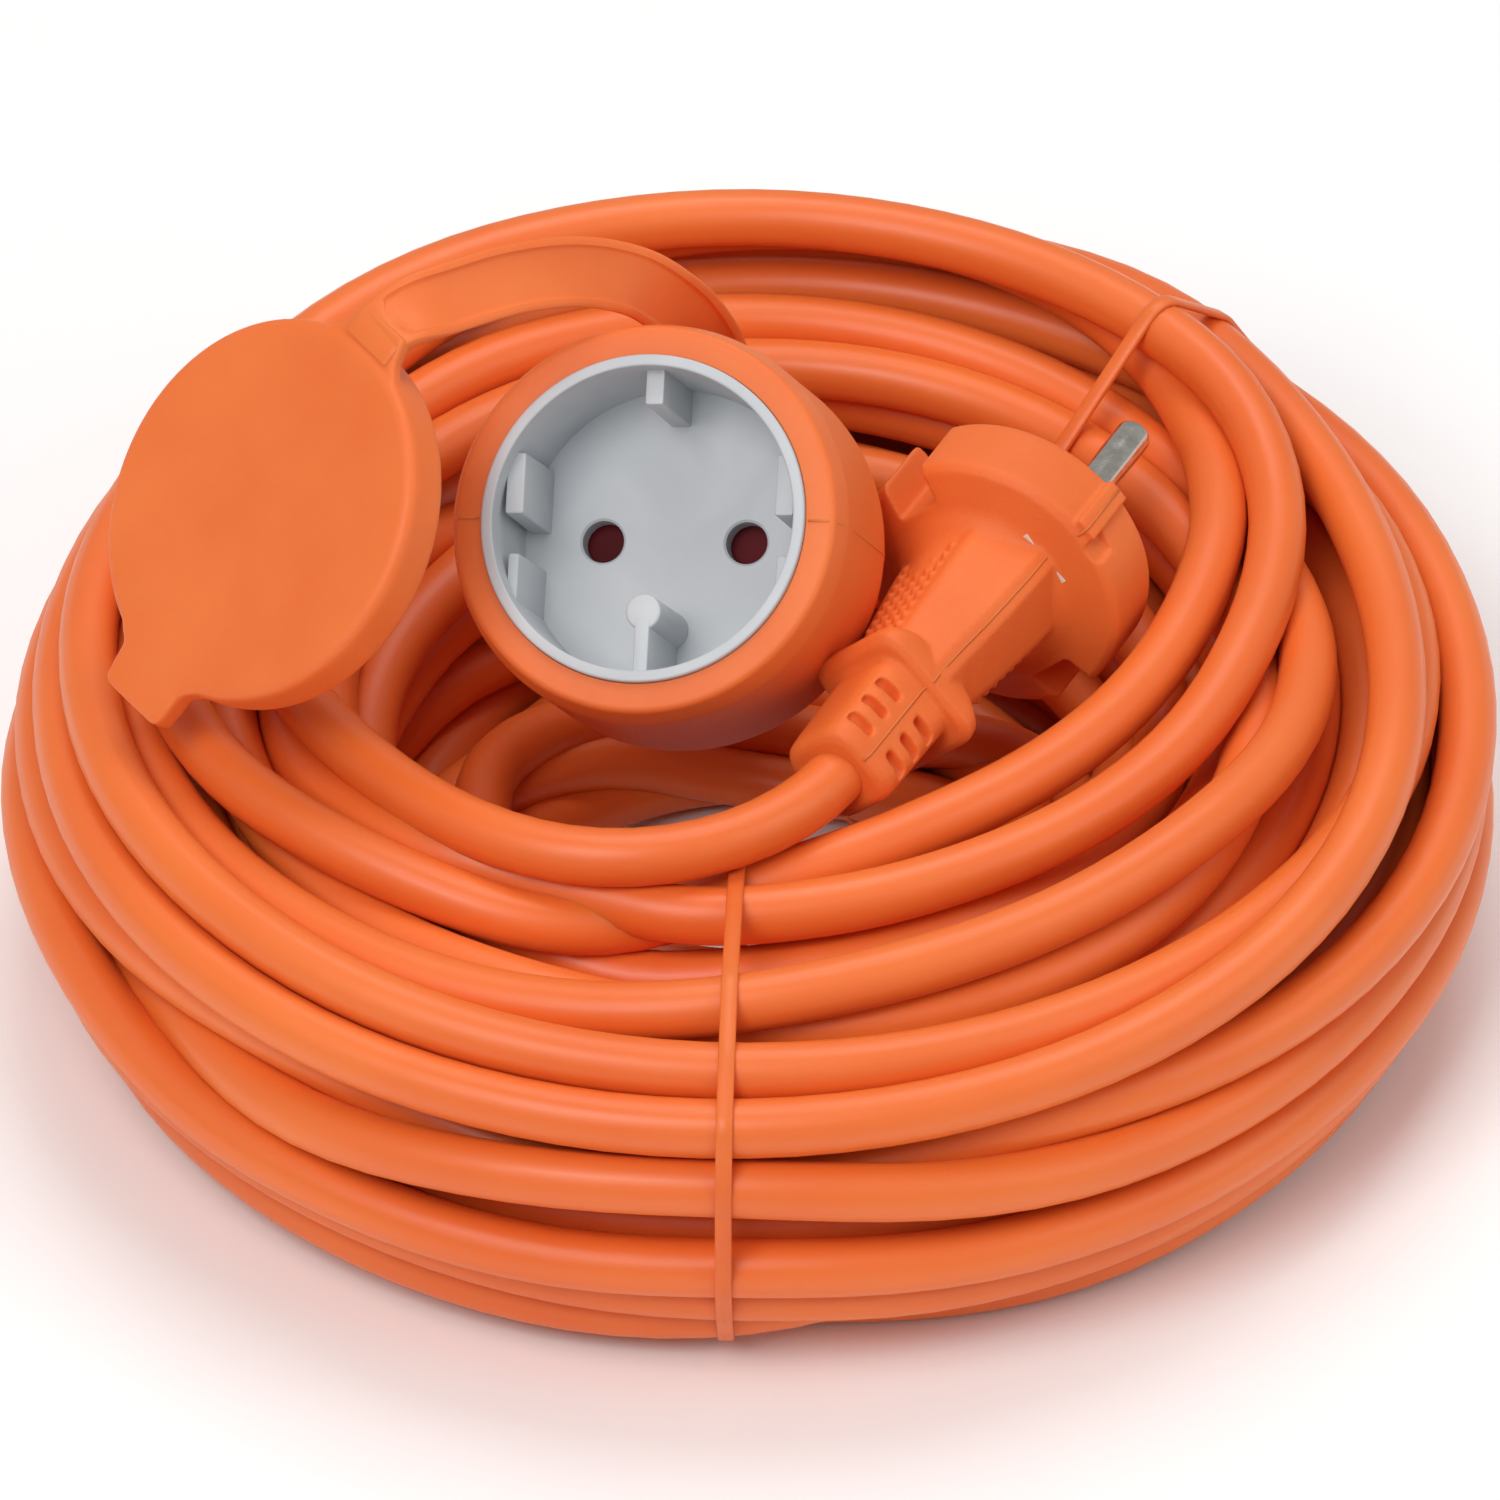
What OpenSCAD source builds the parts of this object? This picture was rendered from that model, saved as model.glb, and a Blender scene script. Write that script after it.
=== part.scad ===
// Two-pole trailing-socket extension cord, coiled and tied. Millimetres, +Z up, floor at z = 0.

/* [Cable] */
// outer diameter of the sheathed cable
cable_d = 7.6; // [6:0.1:10]
// diameter of one insulated conductor
lead_d = 2.6; // [2:0.1:3.5]

/* [Coil] */
// inner radius of the wound bundle
coil_in = 48.5; // [40:1:60]
// outer radius of the wound bundle at its widest
coil_out = 97; // [85:1:110]
// height of the wound bundle
coil_h = 54; // [40:1:70]
// how far the lower turns lean in
coil_lean = 7; // [0:0.5:12]
// squareness of the bundle's section
coil_power = 2.5; // [2:0.1:4]

/* [Ties] */
// width of the strap ties
tie_w = 2.4; // [2:0.1:6]
// thickness of the strap ties
tie_t = 1.0; // [0.6:0.1:2]
// bearing of the front tie
tie_front_at = -92; // [-180:1:180]
// bearing of the rear tie
tie_back_at = 45; // [-180:1:180]

/* [Socket] */
// radius of the moulded head
head_r = 26; // [24:0.5:30]
// radius of the handle behind the head
neck_r = 11.5; // [9:0.5:14]
// outer radius of the insert
insert_r = 21.25; // [20:0.05:23]
// radius of the plug recess
recess_r = 19.75; // [19:0.05:21]
// depth of the plug recess
recess_depth = 17.5; // [15:0.5:20]
// how far the insert's ring stands out
ring_proud = 0.8; // [0:0.1:2]
// radius of the pin holes
pin_hole_r = 2.75; // [2.5:0.05:3]
// half the spacing of the pins
pin_x = 9.5; // [9:0.1:10]

/* [Cap] */
// radius of the flip cap
cap_r = 25; // [24:0.5:28]
// total thickness of the cap
cap_t = 6.6; // [5:0.1:9]
// width of the cap strap
strap_w = 9; // [6:0.5:12]

/* [Plug] */
// radius of the plug's head
plug_r = 18.5; // [17:0.5:20]
// radius of the pins
pin_r = 2.4; // [2.3:0.05:2.5]
// length of the pins in front of the head
pin_len = 19; // [18:0.5:20]
// length of the plug's moulded body
plug_len = 54; // [45:1:65]

/* [Hidden] */
$fn = 64;
cr = cable_d / 2;
lr = lead_d / 2;
shank_r = pin_r - 0.4;
mid_r = (coil_in + coil_out) / 2;
half_w = (coil_out - coil_in) / 2;
half_h = coil_h / 2;
orange = [0.91, 0.42, 0.2];
grey = [0.78, 0.79, 0.8];
dark_red = [0.42, 0.07, 0.12];
brass = [0.78, 0.63, 0.3];
steel = [0.7, 0.7, 0.72];
nickel = [0.82, 0.82, 0.8];
brown = [0.36, 0.2, 0.1];
blue = [0.12, 0.3, 0.65];

// socket frame: z = 0 at the rim face, +z out of the mouth
socket_pos = [-13.6, -8.5, 74];
// cap frame: z = 0 at the top face, +x towards the strap
cap_pos = [-62.6, -14, 80.3];
cap_n = [-0.6042, -0.4462, 0.6602];
cap_x = [0.5470, 0.3710, 0.7513];
plug_pos = [35.4, 14.4, 51.8];
plug_n = [0.45447, 0.89074, -0.0067];
plug_x = [0.63334, -0.31783, 0.70559];
// path of the strap from the collar to the cap
strap_path = [[-2.6, 28.5, 49.5], [-2.9, 31.8, 57.5], [-4.4, 32.2, 67], [-6.6, 27.5, 76.2],
    [-9.6, 22.4, 84.2], [-14.5, 18.6, 91], [-21.5, 14.4, 96], [-29.5, 9, 99.2],
    [-38, 2.6, 100.4], [-42, -0.1, 100.6], [-45.2, -2.2, 99.9]];
// where each end of the cable leaves its moulding, its direction there, the way it bends, radius and angle
socket_exit = [[0.93, 30.36, 27.93], [0.2343, 0.6268, -0.7431], [-1, 0.1, 0], 28, 64];
plug_exit = [[10.86, -33.70, 52.16], [-0.45447, -0.89074, 0.0067], [-1, 0.1, -0.5], 30, 60];

function spow(c, p) = sign(c) * pow(abs(c), p);
function lean(z) = z < 38 ? coil_lean * pow((38 - z) / 38, 1.3) : 0;
// outline of the bundle's section as radius and height, grown by g
function section(g, low = 0) = [for (i = [0:1:35]) let (a = i * 10 + 5,
    z = max(low, half_h + (half_h + g + (a > 180 ? 1.2 : 0)) * spow(sin(a), 2 / coil_power)),
    w = half_w + g - (cos(a) > 0 ? lean(z) : 0))
    [mid_r + w * spow(cos(a), 2 / coil_power), z]];

module socket_at() {
    translate(socket_pos) rotate([0, 0, -20.5]) rotate([42, 0, 0]) rotate([0, 0, 12.5]) children();
}
module cap_at() {
    y = cross(cap_n, cap_x);
    multmatrix([[cap_x[0], y[0], cap_n[0], cap_pos[0]], [cap_x[1], y[1], cap_n[1], cap_pos[1]],
        [cap_x[2], y[2], cap_n[2], cap_pos[2]]]) children();
}
module plug_at() {
    y = cross(plug_n, plug_x);
    multmatrix([[plug_x[0], y[0], plug_n[0], plug_pos[0]], [plug_x[1], y[1], plug_n[1], plug_pos[1]],
        [plug_x[2], y[2], plug_n[2], plug_pos[2]]]) children();
}
module tube(p, r) {
    for (i = [0:1:len(p) - 2]) {
        d = p[i + 1] - p[i];
        translate(p[i]) rotate([0, acos(d[2] / norm(d)), atan2(d[1], d[0])])
            cylinder(h = norm(d), r = r, $fn = 32);
        if (i > 0) translate(p[i]) sphere(r = r * 1.04, $fn = 32);
    }
}
// round bend that starts at e[0] along e[1] and turns towards e[2]
module bend(e, r) {
    t = e[1] / norm(e[1]);
    n0 = e[2] - (e[2] * t) * t;
    n = n0 / norm(n0);
    c = e[0] + e[3] * n;
    z = cross(-n, t);
    multmatrix([[-n[0], t[0], z[0], c[0]], [-n[1], t[1], z[1], c[1]], [-n[2], t[2], z[2], c[2]]])
        rotate_extrude(angle = e[4]) translate([e[3], 0]) circle(r = r);
}
// flat band along a path, its width kept square to the path and to the direction s
module band(p, w, t, s) {
    for (i = [0:1:len(p) - 2]) {
        d = p[i + 1] - p[i];
        z = d / norm(d);
        x0 = cross(z, s);
        x = x0 / norm(x0);
        y = cross(z, x);
        multmatrix([[x[0], y[0], z[0], p[i][0]], [x[1], y[1], z[1], p[i][1]], [x[2], y[2], z[2], p[i][2]]])
            translate([-w / 2, -t / 2, i > 0 ? -0.6 : 0]) cube([w, t, norm(d) + (i > 0 ? 0.6 : 0)]);
    }
}
module tie_ring(at, g, t, low = 0) {
    rotate([0, 0, at]) rotate([90, 0, 0]) translate([0, 0, -tie_w / 2]) linear_extrude(height = tie_w)
        difference() {
            polygon(section(g, low));
            polygon([for (q = section(g - t)) [q[0], max(q[1], t)]]);
        }
}

module cable_coil() color(orange) difference() {
    rotate_extrude($fn = 96) polygon(section(0));
    tie_ring(tie_front_at, 0.4, tie_t, -3);
    tie_ring(tie_back_at, 0.4, tie_t, -3);
}
module tie_front() color(orange) tie_ring(tie_front_at, 0.4, tie_t);
module tie_back() color(orange) tie_ring(tie_back_at, 0.4, tie_t);
module cable_socket_tail() color(orange) {
    socket_at() translate([0, 0, -62.5]) cylinder(h = 12.2, r = cr - 0.15);
    bend(socket_exit, cr);
}
module cable_plug_tail() color(orange) {
    plug_at() translate([0, 0, -plug_len - 0.5]) cylinder(h = plug_len - 37, r = cr - 0.15);
    bend(plug_exit, cr);
}

module socket_body() color(orange) socket_at() rotate_extrude() polygon([
    [insert_r, 0], [head_r - 1.4, 0], [head_r - 0.4, -0.5], [head_r, -1.6], [head_r, -24], [head_r - 1, -28],
    [head_r - 3.2, -31.8], [18.6, -35.2], [14.5, -37.4], [neck_r, -38.6], [neck_r, -50.5], [9.6, -53.5],
    [7.2, -57.5], [6.2, -62], [cr, -62], [cr, -50], [6.5, -48.5], [6.5, -40], [13, -34], [insert_r, -33]]);

module rib(x, y, w, h) translate([x, y, -16.8]) cube([w, h, 14.6]);
module socket_insert() color(grey) socket_at() {
    difference() {
        translate([0, 0, -33]) cylinder(h = 33 + ring_proud, r = insert_r);
        translate([0, 0, ring_proud - recess_depth]) cylinder(h = recess_depth + 1, r = recess_r);
        translate([0, 0, -34]) cylinder(h = 34 - 19.7, r = 18.7);
        for (s = [-1, 1]) translate([s * pin_x, 0, -22]) cylinder(h = 10, r = pin_hole_r);
    }
    intersection() {
        union() {
            rib(-2.3, 15.6, 4.6, 5);
            for (s = [0, 1]) mirror([s, 0, 0]) {
                rib(16.4, 1, 4, 8);
                rib(16.8, -10.6, 4, 6.6);
            }
            rib(-0.8, -20.4, 1.6, 9);
            translate([0, -11.6, -16.8]) cylinder(h = 14.6, r = 2.3);
        }
        translate([0, 0, -16.8]) cylinder(h = 14.6, r = recess_r + 0.1);
    }
}
module shutter() color(dark_red) socket_at() difference() {
    union() {
        translate([0, 0, -21.4]) cylinder(h = 1.5, r = 17.6);
        translate([-1.6, 10, -22.6]) cube([3.2, 1.6, 1.3]);
    }
    translate([0, 0, -23]) cylinder(h = 4, r = 1.55);
    for (a = [-40, 140]) rotate([0, 0, a]) translate([pin_x, 0, -23]) cylinder(h = 4, r = 3);
}
module contact_housing() color([0.9, 0.88, 0.84]) socket_at() difference() {
    union() {
        translate([0, 0, -33]) cylinder(h = 11.2, r = 18.7);
        translate([0, 0, -22]) cylinder(h = 2.2, r = 1.5);
    }
    for (s = [-1, 1]) translate([s * pin_x, 0, -34]) {
        cylinder(h = 13, r = 3.2);
        translate([0, 0, 5]) cylinder(h = 3, r = 4);
    }
    translate([0, 0, -25.4]) difference() {
        cylinder(h = 4, r = 4);
        translate([0, 0, -1]) cylinder(h = 6, r = 1.5);
    }
    rotate([0, 0, 76]) rotate_extrude(angle = 70) translate([9.2, -23.2]) square([3.2, 2]);
}
module contact(s) color(brass) socket_at() translate([s * pin_x, 0, -32]) {
    difference() {
        cylinder(h = 10, r = 3.2);
        translate([0, 0, 1]) cylinder(h = 10, r = 2.43);
    }
}
module contact_left() contact(-1);
module contact_right() contact(1);
module contact_clips() color(steel) socket_at() for (s = [-1, 1]) translate([s * pin_x, 0, -28.9]) difference() {
    cylinder(h = 2.8, r = 3.95);
    translate([0, 0, -1]) cylinder(h = 5, r = 3.2);
}
module shutter_spring() color(steel) socket_at() {
    for (i = [0:1:3]) translate([0, 0, -24.9 + i * 0.65]) rotate_extrude($fn = 32) translate([2.7, 0]) circle(r = 0.4, $fn = 16);
}
module lead(s, c) color(c) socket_at() tube([[s * pin_x, 0, -32], [s * pin_x, 0, -34], [s * 5, 0, -38.8],
    [s * 1.8, 0, -45.4], [s * 1.5, 0, -50]], lr);
module socket_lead_brown() lead(-1, brown);
module socket_lead_blue() lead(1, blue);
module cap_collar() color(orange) socket_at() {
    difference() {
        union() {
            translate([0, 0, -48.5]) cylinder(h = 9, r = 14);
            rotate([0, 0, 81]) translate([0, -strap_w / 2, -48]) cube([14.8, strap_w, 8]);
        }
        translate([0, 0, -50]) cylinder(h = 12, r = neck_r);
    }
}

module cap() color(orange) cap_at() difference() {
    union() {
        translate([0, 0, -1.2]) cylinder(h = 1.2, r1 = cap_r, r2 = cap_r - 1.2);
        translate([0, 0, -cap_t]) cylinder(h = cap_t - 1.2, r = cap_r);
        translate([-30.4, -6, -cap_t + 1.2]) cube([6.4, 12, 3.4]);
        translate([24, -strap_w / 2, -3.6]) cube([3.6, strap_w, 2.6]);
    }
    translate([0, 0, -cap_t - 1]) cylinder(h = cap_t - 1, r = 23.1);
}
module cap_strap() color(orange) difference() {
    band(strap_path, strap_w, 2, [0, -0.766, 0.643]);
    socket_at() {
        translate([0, 0, -33]) cylinder(h = 34, r = head_r + 0.1);
        translate([0, 0, -49]) cylinder(h = 9.6, r = 14.05);
        rotate([0, 0, 81]) translate([0, -strap_w / 2 - 0.5, -48.5]) cube([14.85, strap_w + 1, 8.55]);
    }
    cap_at() translate([20, -8, -5]) cube([7.65, 16, 6]);
}

module plug_body() color(orange) plug_at() difference() {
    union() {
        difference() {
            rotate_extrude() polygon([[0, 0], [plug_r - 1.5, 0], [plug_r - 0.4, -0.5], [plug_r, -1.6],
                [plug_r, -9.5], [plug_r - 1.2, -10.8], [14.5, -12.2], [12.6, -15], [11.4, -18.5], [0, -18.5]]);
            for (a = [90, 270]) rotate([0, 0, a]) translate([plug_r - 5, -3.5, -20]) cube([8, 7, 21]);
        }
        for (a = [0, 180]) rotate([0, 0, a]) translate([plug_r - 1.5, -1.6, -9.5]) cube([2.4, 3.2, 9.4]);
        scale([1, 0.68, 1]) translate([0, 0, -34]) cylinder(h = 21, r1 = 8.6, r2 = 12.8);
        scale([1, 0.95, 1]) translate([0, 0, -37.5]) cylinder(h = 4.2, r = 9.4);
        translate([-6.1, -6.1, -plug_len]) cube([12.2, 12.2, plug_len - 36]);
    }
    translate([-12.6, -4, -12]) cube([25.2, 8, 9]);
    for (s = [-1, 1]) translate([s * pin_x, 0, -14]) cylinder(h = 16, r = shank_r);
    translate([-11.2, -2.2, -15.8]) cube([22.4, 4.4, 4.8]);
    translate([-10.5, -2.2, -17.4]) cube([21, 4.4, 1.8]);
    translate([-8.5, -2.2, -19.2]) cube([17, 4.4, 2]);
    translate([-6.8, -2.2, -21]) cube([13.6, 4.4, 2]);
    translate([-5, -2.2, -38]) cube([10, 4.4, 17.2]);
    translate([0, 0, -plug_len - 1]) cylinder(h = plug_len - 36.5, r = cr);
}
module plug_pin_carrier() color([0.9, 0.88, 0.84]) plug_at() difference() {
    translate([-12.6, -4, -12]) cube([25.2, 8, 9]);
    for (s = [-1, 1]) translate([s * pin_x, 0, -13]) cylinder(h = 12, r = shank_r);
}
module plug_pin(s) color(nickel) plug_at() translate([s * pin_x, 0, 0]) rotate_extrude() polygon([
    [0, -13], [shank_r, -13], [shank_r, 0.2], [pin_r, 0.2], [pin_r, pin_len - 1.9], [2.2, pin_len - 0.8], [1.6, pin_len - 0.2], [0.9, pin_len], [0, pin_len]]);
module plug_pin_left() plug_pin(-1);
module plug_pin_right() plug_pin(1);
module plug_lead(s, c) color(c) plug_at() tube([[s * pin_x, 0, -13], [s * pin_x, 0, -14.6], [s * 3.4, 0, -20], [s * 1.5, 0, -25],
    [s * 1.5, 0, -37.5]], lr);
module plug_lead_brown() plug_lead(-1, brown);
module plug_lead_blue() plug_lead(1, blue);

cable_coil();
cable_socket_tail();
cable_plug_tail();
tie_front();
tie_back();
socket_body();
socket_insert();
contact_housing();
contact_left();
contact_right();
contact_clips();
shutter_spring();
socket_lead_brown();
socket_lead_blue();
cap_collar();
shutter();
cap();
cap_strap();
plug_body();
plug_pin_carrier();
plug_pin_left();
plug_pin_right();
plug_lead_brown();
plug_lead_blue();
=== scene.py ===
"""Orange two-pole extension cord, coiled and tied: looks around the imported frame.

Units: sizes in this file are millimetres until a mesh is made, where MM turns them to metres.
"""

import math

import bmesh
import bpy
import numpy as np
from mathutils import Matrix, Vector


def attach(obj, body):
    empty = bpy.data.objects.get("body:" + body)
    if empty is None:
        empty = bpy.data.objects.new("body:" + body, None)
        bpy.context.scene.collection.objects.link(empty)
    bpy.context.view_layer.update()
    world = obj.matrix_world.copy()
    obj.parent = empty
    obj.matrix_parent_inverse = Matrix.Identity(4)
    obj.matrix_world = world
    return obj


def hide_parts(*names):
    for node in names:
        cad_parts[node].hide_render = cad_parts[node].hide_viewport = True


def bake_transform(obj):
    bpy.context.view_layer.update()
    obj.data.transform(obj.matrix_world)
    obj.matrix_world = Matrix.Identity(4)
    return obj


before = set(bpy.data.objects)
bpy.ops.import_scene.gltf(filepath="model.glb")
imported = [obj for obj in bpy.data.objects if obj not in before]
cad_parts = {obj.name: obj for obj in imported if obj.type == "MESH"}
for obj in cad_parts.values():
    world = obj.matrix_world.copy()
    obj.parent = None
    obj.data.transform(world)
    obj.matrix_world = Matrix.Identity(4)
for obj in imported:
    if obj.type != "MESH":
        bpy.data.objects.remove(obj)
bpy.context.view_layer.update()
MM = 0.001

# ---------------------------------------------------------------- sizes shared with the CAD

CABLE_D = 7.6
CABLE_R = CABLE_D / 2
COIL_IN, COIL_OUT, COIL_HIGH = 48.5, 97.0, 54.0
COIL_LEAN, COIL_POWER = 5.5, 4.2  # how far the lower turns lean in; how square the section is
TIE_FRONT, TIE_BACK = -92.0, 45.0
PIN_X = 9.5  # half the pins' spacing


def turn(axis, degrees):
    """A turn about x or z as a matrix of columns."""
    c, s = math.cos(math.radians(degrees)), math.sin(math.radians(degrees))
    return np.array([[1, 0, 0], [0, c, -s], [0, s, c]] if axis == "x" else [[c, -s, 0], [s, c, 0], [0, 0, 1]])


# each moulding's own frame: the columns of its turn are its x, y and z
SOCKET_AT = np.array([-13.6, -8.5, 74.0])
SOCKET_TURN = turn("z", -20.5) @ turn("x", 42) @ turn("z", 12.5)
PLUG_AT = np.array([35.4, 14.4, 51.8])
PLUG_Z = np.array([0.45447, 0.89074, -0.0067])
PLUG_X = np.array([0.63334, -0.31783, 0.70559])
PLUG_TURN = np.array([PLUG_X, np.cross(PLUG_Z, PLUG_X), PLUG_Z]).T
CAP_AT = np.array([-62.6, -14.0, 80.3])
CAP_Z = np.array([-0.6042, -0.4462, 0.6602])
CAP_X = np.array([0.5470, 0.3710, 0.7513])
CAP_TURN = np.array([CAP_X, np.cross(CAP_Z, CAP_X), CAP_Z]).T
SOCKET_END, PLUG_END = -62.0, -54.0  # where the cable leaves each strain relief
# the cable's first bend out of each moulding: the way it turns, its radius and its degrees
SOCKET_BEND = (np.array([-1, 0.2, 0]), 31.0, 84)
PLUG_BEND = (np.array([-1.0, 0.3, 0.0]), 31.0, 76)


def placed(points, at, turned):
    """Points of a moulding's own frame, in the row frame."""
    return np.asarray(points, float) @ turned.T + at


# ---------------------------------------------------------------- small tools


def linear(code):
    """An sRGB hex colour as linear RGBA."""
    c = [int(code[i : i + 2], 16) / 255 for i in (0, 2, 4)]
    return [x / 12.92 if x <= 0.04045 else ((x + 0.055) / 1.055) ** 2.4 for x in c] + [1.0]


def add(tree, kind, settings=None, **links):
    """Adds a node. Settings are its properties, or its inputs by name or number; links join inputs to other nodes' outputs."""
    n = tree.nodes.new(kind)
    for key, value in (settings or {}).items():
        if isinstance(key, str) and hasattr(n, key) and key not in n.inputs:
            setattr(n, key, value)
        else:
            n.inputs[key].default_value = value
    for key, value in links.items():
        key = int(key[1:]) if key[0] == "i" and key[1:].isdigit() else key.replace("_", " ")
        tree.links.new(value if isinstance(value, bpy.types.NodeSocket) else value.outputs[0], n.inputs[key])
    return n


def dyed(tree, shader, fac, deep, light, low=0.3, high=0.7):
    """Colours a shader between two hex values, the deeper one below low and the lighter one above high."""
    ramp = add(tree, "ShaderNodeValToRGB", Fac=fac)
    ends = ramp.color_ramp.elements
    ends[0].position, ends[0].color = low, linear(deep)
    ends[1].position, ends[1].color = high, linear(light)
    tree.links.new(ramp.outputs["Color"], shader.inputs["Base Color"])


def material(name, **surface):
    """A named material with its Principled shader's plain values set; returns it, its tree and its shader."""
    m = bpy.data.materials.new(name)
    m.use_nodes = True
    shader = m.node_tree.nodes["Principled BSDF"]
    for key, value in surface.items():
        shader.inputs[key.replace("_", " ")].default_value = value
    return m, m.node_tree, shader


def mesh_piece(name, points, faces, mat, smooth=True):
    """A mesh object from millimetre points, at the origin."""
    me = bpy.data.meshes.new(name)
    me.from_pydata([tuple(p) for p in np.asarray(points) * MM], [], faces)
    me.polygons.foreach_set("use_smooth", [smooth] * len(me.polygons))
    me.update()
    o = bpy.data.objects.new(name, me)
    bpy.context.collection.objects.link(o)
    o.data.materials.append(mat)
    return o


# ---------------------------------------------------------------- camera and light


def look(eye, target, obj):
    """Stands a camera or lamp at a place and points it."""
    obj.location = eye
    obj.rotation_euler = (Vector(target) - Vector(eye)).to_track_quat("-Z", "Y").to_euler()


VIEW_HIGH = math.radians(40)  # a long lens from well back, looking down
VIEW_FAR = 2.0
VIEW_TARGET = (0.0, 0.0, 0.0284)
cam = bpy.data.objects.new("camera", bpy.data.cameras.new("camera"))
cam.data.lens, cam.data.sensor_width = 370, 36
cam.data.clip_start, cam.data.clip_end = 0.05, 20
bpy.context.collection.objects.link(cam)
eye = (0, VIEW_TARGET[1] - VIEW_FAR * math.cos(VIEW_HIGH), VIEW_TARGET[2] + VIEW_FAR * math.sin(VIEW_HIGH))
look(eye, VIEW_TARGET, cam)
scene = bpy.context.scene
scene.camera = cam
scene.view_settings.view_transform = "Standard"


def soft_light(name, eye, size, power, target=(0, 0, 0.03)):
    """A square soft box, its size in metres."""
    lamp = bpy.data.objects.new(name, bpy.data.lights.new(name, "AREA"))
    lamp.data.size, lamp.data.energy = size, power
    bpy.context.collection.objects.link(lamp)
    look(eye, target, lamp)


soft_light("key", (-0.45, -0.75, 1.15), 0.7, 10)
soft_light("fill", (0.95, -0.35, 0.75), 0.7, 2.5)
soft_light("top", (0.1, 0.5, 1.3), 0.8, 7)
world = bpy.data.worlds.new("studio")
world.use_nodes = True
air = world.node_tree.nodes["Background"].inputs
air["Color"].default_value, air["Strength"].default_value = (1, 1, 1, 1), 0.35
scene.world = world

# ---------------------------------------------------------------- materials

# PVC sheath, extruded: a smooth satin skin with faint draw lines along the cable, softly lit from within
SOFT_GLOW = (1.0, 0.14, 0.06)  # orange PVC lets red light through furthest, so its shade turns red
glow = {"Subsurface_Weight": 0.3, "Subsurface_Scale": 0.003, "Subsurface_Radius": SOFT_GLOW}
sheath, tree, shader = material("extruded PVC sheath", IOR=1.53, Specular_IOR_Level=0.42, **glow)
where = add(tree, "ShaderNodeTexCoord")
# 26 lines round the cable, one change in 50 mm
along = add(tree, "ShaderNodeMapping", {"Scale": (26, 0.02, 1)}, Vector=where.outputs["UV"])
drawn = add(tree, "ShaderNodeTexNoise", {"Scale": 1.0, "Detail": 2.0}, Vector=along)
# 45 mm patches of slightly deeper dye, and a 0.45 mm skin grain
cloud = add(tree, "ShaderNodeTexNoise", {"Scale": 22.0, "Detail": 3.0}, Vector=where.outputs["Object"])
grain = add(tree, "ShaderNodeTexNoise", {"Scale": 2200.0, "Detail": 2.0}, Vector=where.outputs["Object"])
dyed(tree, shader, cloud, "E86C2C", "F07A36", high=0.75)
gloss = add(tree, "ShaderNodeMapRange", {"From Min": 0.3, "From Max": 0.7, "To Min": 0.36, "To Max": 0.47}, Value=drawn)
tree.links.new(gloss.outputs["Result"], shader.inputs["Roughness"])
lines = add(tree, "ShaderNodeBump", {"Strength": 0.12, "Distance": 0.0001}, Height=drawn)
skin = add(tree, "ShaderNodeBump", {"Strength": 0.08, "Distance": 0.00006}, Height=grain, Normal=lines)
tree.links.new(skin.outputs["Normal"], shader.inputs["Normal"])


def soft_pvc(name, light, deep, grit, relief, rough):
    """Moulded soft PVC: matt, with the fine spark-eroded grain of its mould, grit in millimetres."""
    glow = {"Subsurface_Weight": 0.25, "Subsurface_Scale": 0.0025, "Subsurface_Radius": SOFT_GLOW}
    m, tree, shader = material(name, IOR=1.52, Specular_IOR_Level=0.38, **glow)
    where = add(tree, "ShaderNodeTexCoord").outputs["Object"]
    cloud = add(tree, "ShaderNodeTexNoise", {"Scale": 45.0, "Detail": 3.0}, Vector=where)
    pits = add(tree, "ShaderNodeTexNoise", {"Scale": 1000 / grit, "Detail": 3.0, "Roughness": 0.6}, Vector=where)
    dyed(tree, shader, cloud, deep, light, high=0.72)
    spread = {"From Min": 0.3, "From Max": 0.7, "To Min": rough - 0.05, "To Max": rough + 0.06}
    gloss = add(tree, "ShaderNodeMapRange", spread, Value=pits)
    tree.links.new(gloss.outputs["Result"], shader.inputs["Roughness"])
    bump = add(tree, "ShaderNodeBump", {"Strength": relief, "Distance": 0.00012}, Height=pits)
    tree.links.new(bump.outputs["Normal"], shader.inputs["Normal"])
    return m


# the moulded ends are duller and a little paler than the cable; the plug's mould is the coarser one
moulded = soft_pvc("moulded soft PVC", "EE7A3A", "E66E2E", 0.35, 0.22, 0.52)
grained = soft_pvc("moulded soft PVC, grained", "EE7836", "E56A2C", 0.42, 0.55, 0.55)
# the ties are thin extruded strap, glossier where pulled tight
tie_pvc = soft_pvc("stretched PVC strap", "EE7836", "E3682A", 0.6, 0.15, 0.42)


def hard_plastic(name, light, deep, rough, spec, relief=0.12):
    """Injection-moulded hard plastic: even colour with slight flow clouds and a fine satin grain."""
    m, tree, shader = material(name, IOR=1.55, Specular_IOR_Level=spec)
    where = add(tree, "ShaderNodeTexCoord").outputs["Object"]
    flow = add(tree, "ShaderNodeTexNoise", {"Scale": 60.0, "Detail": 2.0, "Distortion": 1.2}, Vector=where)
    pits = add(tree, "ShaderNodeTexNoise", {"Scale": 3200.0, "Detail": 2.0}, Vector=where)  # 0.3 mm grain
    dyed(tree, shader, flow, deep, light)
    gloss = add(tree, "ShaderNodeMapRange", {"To Min": rough - 0.06, "To Max": rough + 0.06}, Value=pits)
    tree.links.new(gloss.outputs["Result"], shader.inputs["Roughness"])
    bump = add(tree, "ShaderNodeBump", {"Strength": relief, "Distance": 0.00008}, Height=pits)
    tree.links.new(bump.outputs["Normal"], shader.inputs["Normal"])
    return m


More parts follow.
